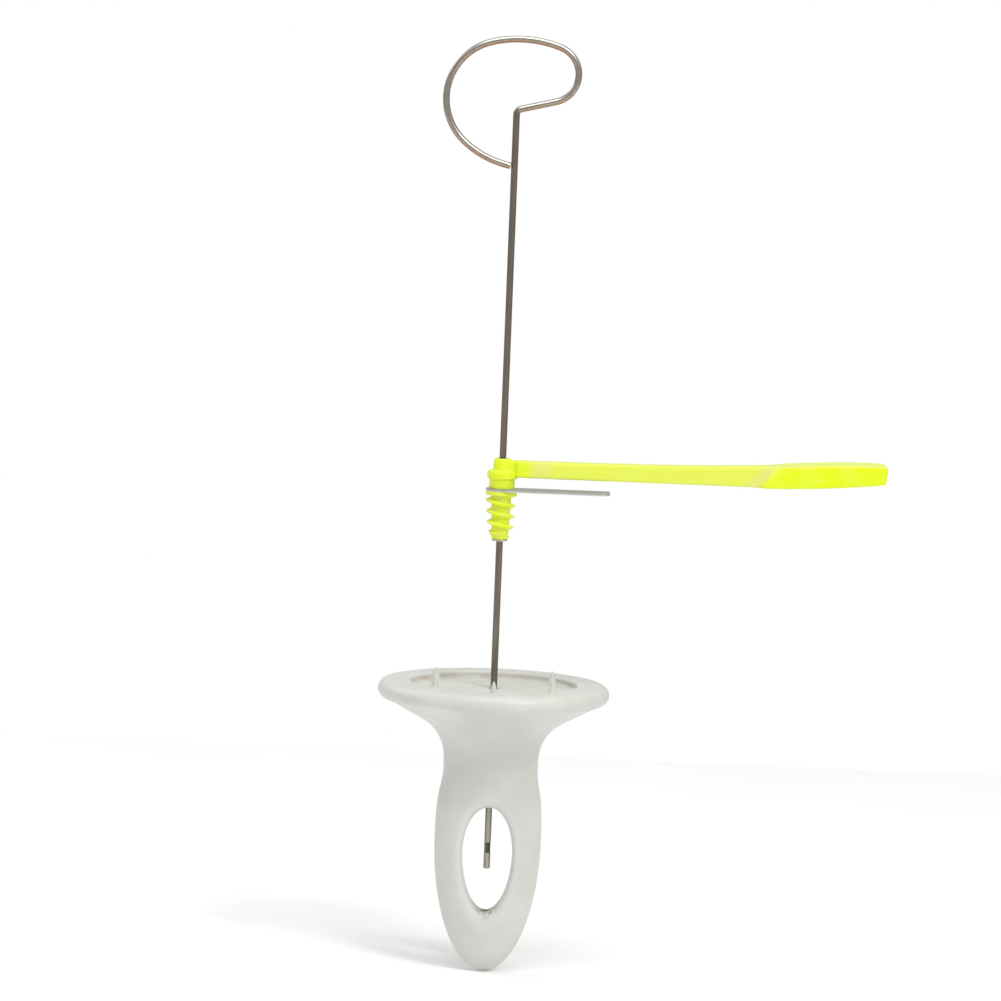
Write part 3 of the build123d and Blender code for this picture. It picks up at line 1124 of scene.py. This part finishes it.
def makeWhitePlastic():
    s = whitePlastic
    material, flow, place, feed = newFinish(
        "whitePlastic", Subsurface_Weight=0.22, Subsurface_Radius=s["scatter"],
        Subsurface_Scale=s["scatterDepth"], IOR=1.49,
    )
    x, y, z = place.axes()
    radius = place.fromAxis()
    clouds = place.noise(70, 4)
    colour = flow.mix(clouds.ramp(0.35, 0.68), s["colour"], s["cloudy"])
    # painted highlight: the base colour is lighter in a band round the finger hole, standing in for light on
    # its rounded rim
    eyeMiddle = handle["eyeMiddle"]
    rise = z.ramp(eyeMiddle - mm / 2, eyeMiddle + mm / 2, handle["eyeDrop"], handle["eyeRise"])
    across, along = x / handle["eyeHalfWidth"], (z - eyeMiddle) / rise
    holeHighlight = 1 - (across * across + along * along).ramp(1.0, 2.1)
    colour = flow.mix(holeHighlight * 0.55, colour, s["holeHighlight"])
    # a dried film on the recess floor, and the recess wall browned in smudges
    edge, top = handle["recessRadius"], s["filmTop"]
    blots = place.noise(190, 5, 0.62)
    onFloor = z.ramp(-0.4 * mm, -0.1 * mm) * (1 - z.ramp(top - 1.1 * mm, top))
    inRecess = onFloor * (1 - radius.ramp(edge - 0.4 * mm, edge + 0.4 * mm))
    colour = flow.mix(inRecess * blots.ramp(0.42, 0.72, 0, 0.45), colour, s["film"])
    wall = radius.ramp(edge - mm, edge - 0.3 * mm) * (1 - radius.ramp(edge, edge + 0.4 * mm))
    wallBand = wall * z.ramp(-0.3 * mm, 0.1 * mm) * (1 - z.ramp(top - 0.9 * mm, top - 0.1 * mm))
    smudges = place.noise(420, 4, 0.6) * 0.6 + blots * 0.4
    colour = flow.mix(wallBand * smudges.ramp(0.38, 0.66, 0.12, 0.5), colour, s["brownTint"])
    aroundBore = 1 - radius.ramp(handle["boreRadius"] + 0.12 * mm, handle["boreRadius"] + 1.52 * mm)
    colour = flow.mix(aroundBore * z.ramp(-0.6 * mm, -0.2 * mm) * 0.5, colour, s["brownTint"])
    # the wire's tip has marked the dimple
    depth = z - (eyeMiddle - handle["eyeDrop"])
    fromDimple = flow.math('SQRT', x * x + y * y + depth * depth)
    mark = (1 - fromDimple.ramp(0.9 * mm, s["dimpleMark"])) * blots.ramp(0.30, 0.52, 0.35, 1)
    specks = place.noise(900, 3, 0.7).ramp(0.42, 0.60)
    halo = (1 - fromDimple.ramp(3.0 * mm, s["dimpleHalo"])) * specks
    colour = flow.mix(halo * 0.7, colour, s["dimpleStain"])
    colour = flow.mix(mark * 0.7, colour, s["dimpleStain"])
    # hairline scuffs where fingers go, and the line where the mould parts along the sides
    scuffs = place.noise(2300, 2, stretched=(1, 1, 0.09)).ramp(0.60, 0.72) * clouds.ramp(0.45, 0.7)
    fromMiddle = flow.math('ABSOLUTE', y).ramp(0.02 * mm, s["partingHalfWidth"])
    parting = (1 - fromMiddle) * (1 - z.ramp(s["partingTop"] - 1.5 * mm, s["partingTop"]))
    colour = flow.mix(scuffs * 0.10 + parting * 0.14, colour, s["scuff"])
    feed("Base Color", colour)
    fine = place.noise(900, 3)
    feed("Roughness", 0.36 + fine * 0.10 + scuffs * 0.12 + mark * 0.2 + inRecess * 0.08)
    grain = flow.bump(place.noise(s["grain"]) - scuffs * 0.3 + parting * 2.2, 0.18, s["grainHeight"])
    feed("Normal", flow.bump(place.noise(55, 1), 0.25, s["sinkHeight"], grain))
    return material


limePlastic = {
    "paddle": rgb(0.645, 0.77, 0.004),
    # the bar's lime with a painted sheen
    "bar": rgb(0.645, 0.71, 0.078),
    "hub": rgb(0.635, 0.75, 0.020),
    # pale tone, also used for painted highlights
    "paleToneAndSheen": rgb(0.67, 0.72, 0.15),
    "deep": rgb(0.50, 0.68, 0.012),
    "worn": rgb(0.69, 0.72, 0.30),
    # painted reflection on the bar next to the hub and the paddle
    "paleReflection": rgb(0.66, 0.62, 0.20),
    "crust": rgb(0.66, 0.60, 0.26),
    "scatter": (1.0, 1.0, 0.15),
    "scatterDepth": 1.2 * mm,
    # a painted glow in the lime's own colour
    "paintedGlow": 0.10,
    "hubReach": 7 * mm,
    "reflectionUpTo": 15.5 * mm,
    "boundary": 75.5 * mm,          # from the bar's painted sheen to the deeper paddle
    "grainHeight": 0.025 * mm,
    "lineHeight": 0.06 * mm,
}


def makeLimePlastic():
    s = limePlastic
    # the lime also glows faintly in its own colour, a painted glow
    material, flow, place, feed = newFinish(
        "limePlastic", Subsurface_Weight=0.15, Subsurface_Radius=s["scatter"], IOR=1.49,
        Subsurface_Scale=s["scatterDepth"], Specular_IOR_Level=0.3, Emission_Strength=s["paintedGlow"],
    )
    x, y, z = place.axes()
    underside, boundary = arm["underside"], s["boundary"]
    clouds = place.noise(150, 4)
    wavering = x - (z - underside) * arm["lean"] + (clouds - 0.5) * 2 * mm
    onPaddle = wavering.ramp(boundary - mm, boundary + mm)
    pastHub = x.ramp(s["hubReach"], s["hubReach"] + 3 * mm)
    # painted sheen: the bar's colour is paler than the hub's and the paddle's
    colour = flow.mix(pastHub, s["hub"], s["bar"])
    colour = flow.mix(onPaddle, colour, s["paddle"])
    # painted reflection: the bar is paler and beige next to the hub and next to the paddle
    byPaddle = wavering.ramp(boundary - 6 * mm, boundary - 1.5 * mm) * (1 - onPaddle)
    byHub = pastHub * (1 - x.ramp(s["reflectionUpTo"] - 3 * mm, s["reflectionUpTo"]))
    colour = flow.mix(byPaddle * 0.8 + byHub * clouds.ramp(0.3, 0.7, 0.3, 0.7), colour, s["paleReflection"])
    # painted highlights: the lower edge and the faces turned up are paler, with brighter patches on the
    # paddle's top
    lowEdge = (1 - z.ramp(underside, underside + 0.8 * mm)) * pastHub
    highlightPatches = place.noise(620, 3, 0.6, (0.5, 1, 1)).ramp(0.60, 0.68)
    paleToneAndSheen = turnedUp(flow).ramp(0.45, 0.9) * (onPaddle * 0.35 + 0.25 + highlightPatches * onPaddle * 0.3)
    colour = flow.mix(paleToneAndSheen + lowEdge * 0.5, colour, s["paleToneAndSheen"])
    colour = flow.mix(clouds.ramp(0.40, 0.72, 0, 0.24), colour, s["paleToneAndSheen"])
    # flow lines of the moulding run out along the bar
    lines = place.noise(1500, 3, stretched=(0.12, 1, 1))
    colour = flow.mix(lines.ramp(0.45, 0.75, 0, 0.22), colour, s["deep"])
    scratches = place.noise(2600, 2, stretched=(1, 0.07, 1)).ramp(0.62, 0.74)
    nicks = place.noise(1700, 2, stretched=(0.25, 1, 0.6)).ramp(0.66, 0.74)
    colour = flow.mix((scratches * 0.5 + nicks * 0.6) * onPaddle * 0.5, colour, s["worn"])
    # dried residue in the thread and under the collar
    low = 1 - z.ramp(underside - 4 * mm, underside + 0.5 * mm)
    crust = low * place.noise(480, 4, 0.62).ramp(0.48, 0.68) * (1 - pastHub)
    colour = flow.mix(crust * 0.45, colour, s["crust"])
    feed("Base Color", colour)
    # painted glow: the colour is emitted as well
    feed("Emission Color", colour)
    feed("Roughness", 0.28 + clouds * 0.16 + scratches * 0.15 + crust * 0.2)
    grain = place.noise(2800) - scratches * 0.5 - nicks + crust * 0.8
    feed("Normal", flow.bump(lines, 0.2, s["lineHeight"], flow.bump(grain, 0.25, s["grainHeight"])))
    return material


drawnWire = {
    "bright": rgb(0.41, 0.38, 0.33),
    "dull": rgb(0.32, 0.285, 0.235),
    "line": rgb(0.15, 0.125, 0.095),
    # painted shade on the stem
    "stemShade": rgb(0.17, 0.14, 0.11),
    # painted highlight on top of the loop
    "loopHighlight": rgb(0.62, 0.59, 0.54),
    # painted reflection under and inside the loop
    "loopReflection": rgb(0.32, 0.145, 0.06),
    # painted reflection on the tip
    "tan": rgb(0.40, 0.37, 0.30),
    "notchDark": rgb(0.06, 0.045, 0.03),
    "tipUpTo": 24 * mm,
    "loopFrom": 226 * mm,
    "lineHeight": 0.012 * mm,
}


def makeDrawnWire():
    # drawn wire: die lines along it, dull patches, and painted light: shade on the stem, a highlight and a
    # brownish reflection on the loop
    s = drawnWire
    material, flow, place, feed = newFinish("drawnWire")
    drawn = flow.node("Attribute", {"attribute_name": "drawn"}, out=1)
    lines = drawn.noise(1, 4, 0.6, (9, 9, 18))
    fineLines = drawn.noise(1, stretched=(34, 34, 40))
    patches = drawn.noise(1, 3, stretched=(0.9, 0.9, 120))
    colour = flow.mix(patches.ramp(0.35, 0.70), s["bright"], s["dull"])
    colour = flow.mix(lines.ramp(0.5, 0.8, 0, 0.5), colour, s["line"])
    # the stem is a little rougher and is darkened as painted shade; the loop is lighter on top as a painted
    # highlight and brown underneath and inside as a painted reflection; the tip is paler as a painted
    # reflection
    inner, length = drawn.axes()[1:]
    onLoop = length.ramp(s["loopFrom"], s["loopFrom"] + 6 * mm)
    onTip = 1 - length.ramp(s["tipUpTo"], s["tipUpTo"] + 8 * mm)
    stem = (1 - onLoop) * (1 - onTip)
    up = turnedUp(flow)
    reflectedBrown = (0 - up).ramp(0.1, 0.6, 0, 0.7) + inner.ramp(0.5, 0.9, 0, 0.3)
    colour = flow.mix(stem * patches.ramp(0.2, 0.8, 0.72, 0.92), colour, s["stemShade"])
    colour = flow.mix(up.ramp(0.15, 0.7) * onLoop * 0.8, colour, s["loopHighlight"])
    colour = flow.mix(reflectedBrown * onLoop, colour, s["loopReflection"])
    colour = flow.mix(onTip * 0.7, colour, s["tan"])
    # the filed notch is darker, duller and less metallic
    x, y, z = place.axes()
    notchFoot = skewer["tip"] + skewer["notchAboveTip"]
    notchTop = notchFoot + skewer["notchLength"]
    inNotch = z.ramp(notchFoot - 0.3 * mm, notchFoot + 0.1 * mm)
    inNotch = inNotch * (1 - z.ramp(notchTop - 0.1 * mm, notchTop + 0.3 * mm))
    inNotch = inNotch * (x - y).ramp(0.1 * mm, 0.4 * mm)
    colour = flow.mix(inNotch * lines.ramp(0.2, 0.6, 0.6, 0.95), colour, s["notchDark"])
    feed("Base Color", colour)
    feed("Metallic", 1 - lines.ramp(0.55, 0.85, 0, 0.12) - inNotch * 0.6)
    feed("Roughness", 0.17 + patches * 0.14 + fineLines * 0.08 + stem * 0.08 + onTip * 0.16 + inNotch * 0.2)
    feed("Normal", flow.bump(lines + fineLines * 0.4, 0.35, s["lineHeight"]))
    return material


groundSteel = {
    "colour": rgb(0.60, 0.60, 0.585),
    "rolled": rgb(0.50, 0.495, 0.48),
    "cloudy": rgb(0.44, 0.41, 0.36),
    "ground": rgb(0.70, 0.70, 0.69),
    "lineHeight": 0.012 * mm,
}


def makeGroundSteel():
    # rolled strip, ground along its edge
    s = groundSteel
    material, flow, place, feed = newFinish("groundSteel")
    x, y = place.axes()[:2]
    grindStart = blade["halfWidth"] - blade["grindWidth"]
    grind = y.ramp(grindStart - 0.1 * mm, grindStart + 0.1 * mm) * x.ramp(0, 2 * mm)
    rolled = place.noise(2600, 3, 0.6, (0.05, 1, 1))
    ground = place.noise(3200, 2, stretched=(1, 0.06, 0.06))
    clouds = place.noise(160, 4)
    colour = flow.mix(rolled.ramp(0.35, 0.7), s["colour"], s["rolled"])
    colour = flow.mix(clouds.ramp(0.45, 0.75, 0, 0.35), colour, s["cloudy"])
    feed("Base Color", flow.mix(grind, colour, s["ground"]))
    feed("Metallic", 1 - clouds.ramp(0.6, 0.8, 0, 0.15))
    feed("Roughness", 0.27 + rolled * 0.10 + clouds * 0.08 - grind * 0.08)
    feed("Normal", flow.bump(rolled * (1 - grind) + ground * grind, 0.35, s["lineHeight"]))
    return material


turnedSteel = {
    "colour": rgb(0.60, 0.59, 0.57),
    "cloudy": rgb(0.47, 0.45, 0.42),
    "rings": 9000,                  # turning marks, in spots for each metre
    "ringHeight": 0.01 * mm,
}


def makeTurnedSteel():
    # turned tube: rings round its axis
    s = turnedSteel
    material, flow, place, feed = newFinish("turnedSteel")
    section = flow.node("CombineXYZ", {}, {0: place.fromAxis(), 2: place.axes()[2]})
    rings = section.noise(s["rings"])
    clouds = place.noise(400, 3)
    feed("Base Color", flow.mix(clouds.ramp(0.35, 0.7), s["colour"], s["cloudy"]))
    feed("Metallic", 1 - clouds.ramp(0.6, 0.8, 0, 0.1))
    feed("Roughness", 0.24 + rings * 0.12)
    feed("Normal", flow.bump(rings, 0.3, s["ringHeight"]))
    return material


def dress(piece, material):
    piece.data.materials.clear()
    piece.data.materials.append(material)


lime = makeLimePlastic()
dress(body, makeWhitePlastic())
dress(wire, makeDrawnWire())
dress(tube, makeTurnedSteel())
dress(screw, lime)
dress(strip, makeGroundSteel())
dress(cutter, lime)
report("finishes")


# pale floor and plain studio light
studio = {
    "floorBehind": 0.45,
    "floorAround": 0.7,
    "floorGap": 0.1 * mm,           # under the handle's foot
    "floorColour": rgb(0.97, 0.97, 0.97),
    "floorMottle": rgb(0.955, 0.955, 0.952),
    "paper": rgb(1, 1, 1),
    "roomLight": 0.60,
    "lamps": {                      # place, size, power, what it points at
        "overheadSoftbox": ((0.0, -0.50, 1.2), 0.9, 7.5, (0, 0, 0)),
        "keySoftbox": ((0.75, -1.05, 1.05), 0.36, 9.0, (0, 0, 0.02)),
        "rimSoftbox": ((-0.9, 0.5, 0.75), 0.5, 2.4, (0, 0, 0.05)),
    },
}


def makeFloor():
    s = studio
    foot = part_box("handle")[0].z
    depth = s["floorBehind"] + s["floorAround"]
    clearPicks()
    bpy.ops.mesh.primitive_grid_add(x_subdivisions=8, y_subdivisions=8, size=1)
    floor = bpy.context.object
    floor.name = "paleFloor"
    floor.scale = (2 * s["floorAround"], depth, 1)
    floor.location = (0, s["floorBehind"] - depth / 2, foot - s["floorGap"])
    settle(floor)
    material, flow, place, feed = newFinish("paperFloor", Roughness=0.75, Specular_IOR_Level=0.2)
    feed("Base Color", flow.mix(place.noise(14, 3).ramp(0.4, 0.7), s["floorColour"], s["floorMottle"]))
    floor.data.materials.append(material)
    floor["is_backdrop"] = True


def makeLight():
    # the camera sees white paper behind the object, and the room's own light falls on it
    s = studio
    world = bpy.data.worlds.new("studioRoom")
    bpy.context.scene.world = world
    world.use_nodes = True
    tree = world.node_tree
    tree.nodes.clear()
    flow = Flow(tree)
    room = flow.node("Background", {}, {"Color": s["paper"], "Strength": s["roomLight"]})
    paper = flow.node("Background", {}, {"Color": s["paper"], "Strength": 1.0})
    both = flow.node("MixShader", {}, {0: flow.node("LightPath"), 1: room, 2: paper})
    output = tree.nodes.new("ShaderNodeOutputWorld")
    tree.links.new(both.socket, output.inputs[0])
    for name, (place, size, power, target) in s["lamps"].items():
        data = bpy.data.lights.new(name, 'AREA')
        data.shape = 'SQUARE'
        data.size = size
        data.energy = power
        lamp = bpy.data.objects.new(name, data)
        lamp.location = place
        aim = Vector(target) - Vector(place)
        lamp.rotation_euler = aim.to_track_quat('-Z', 'Y').to_euler()
        bpy.context.scene.collection.objects.link(lamp)
    bpy.context.scene.view_settings.view_transform = 'Standard'


makeFloor()
makeLight()
report("studio")

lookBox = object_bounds()
for name, box in (("cad", cadBox), ("visual", lookBox)):
    print("size", name, [round((high - low) / mm, 2) for low, high in zip(*box)])
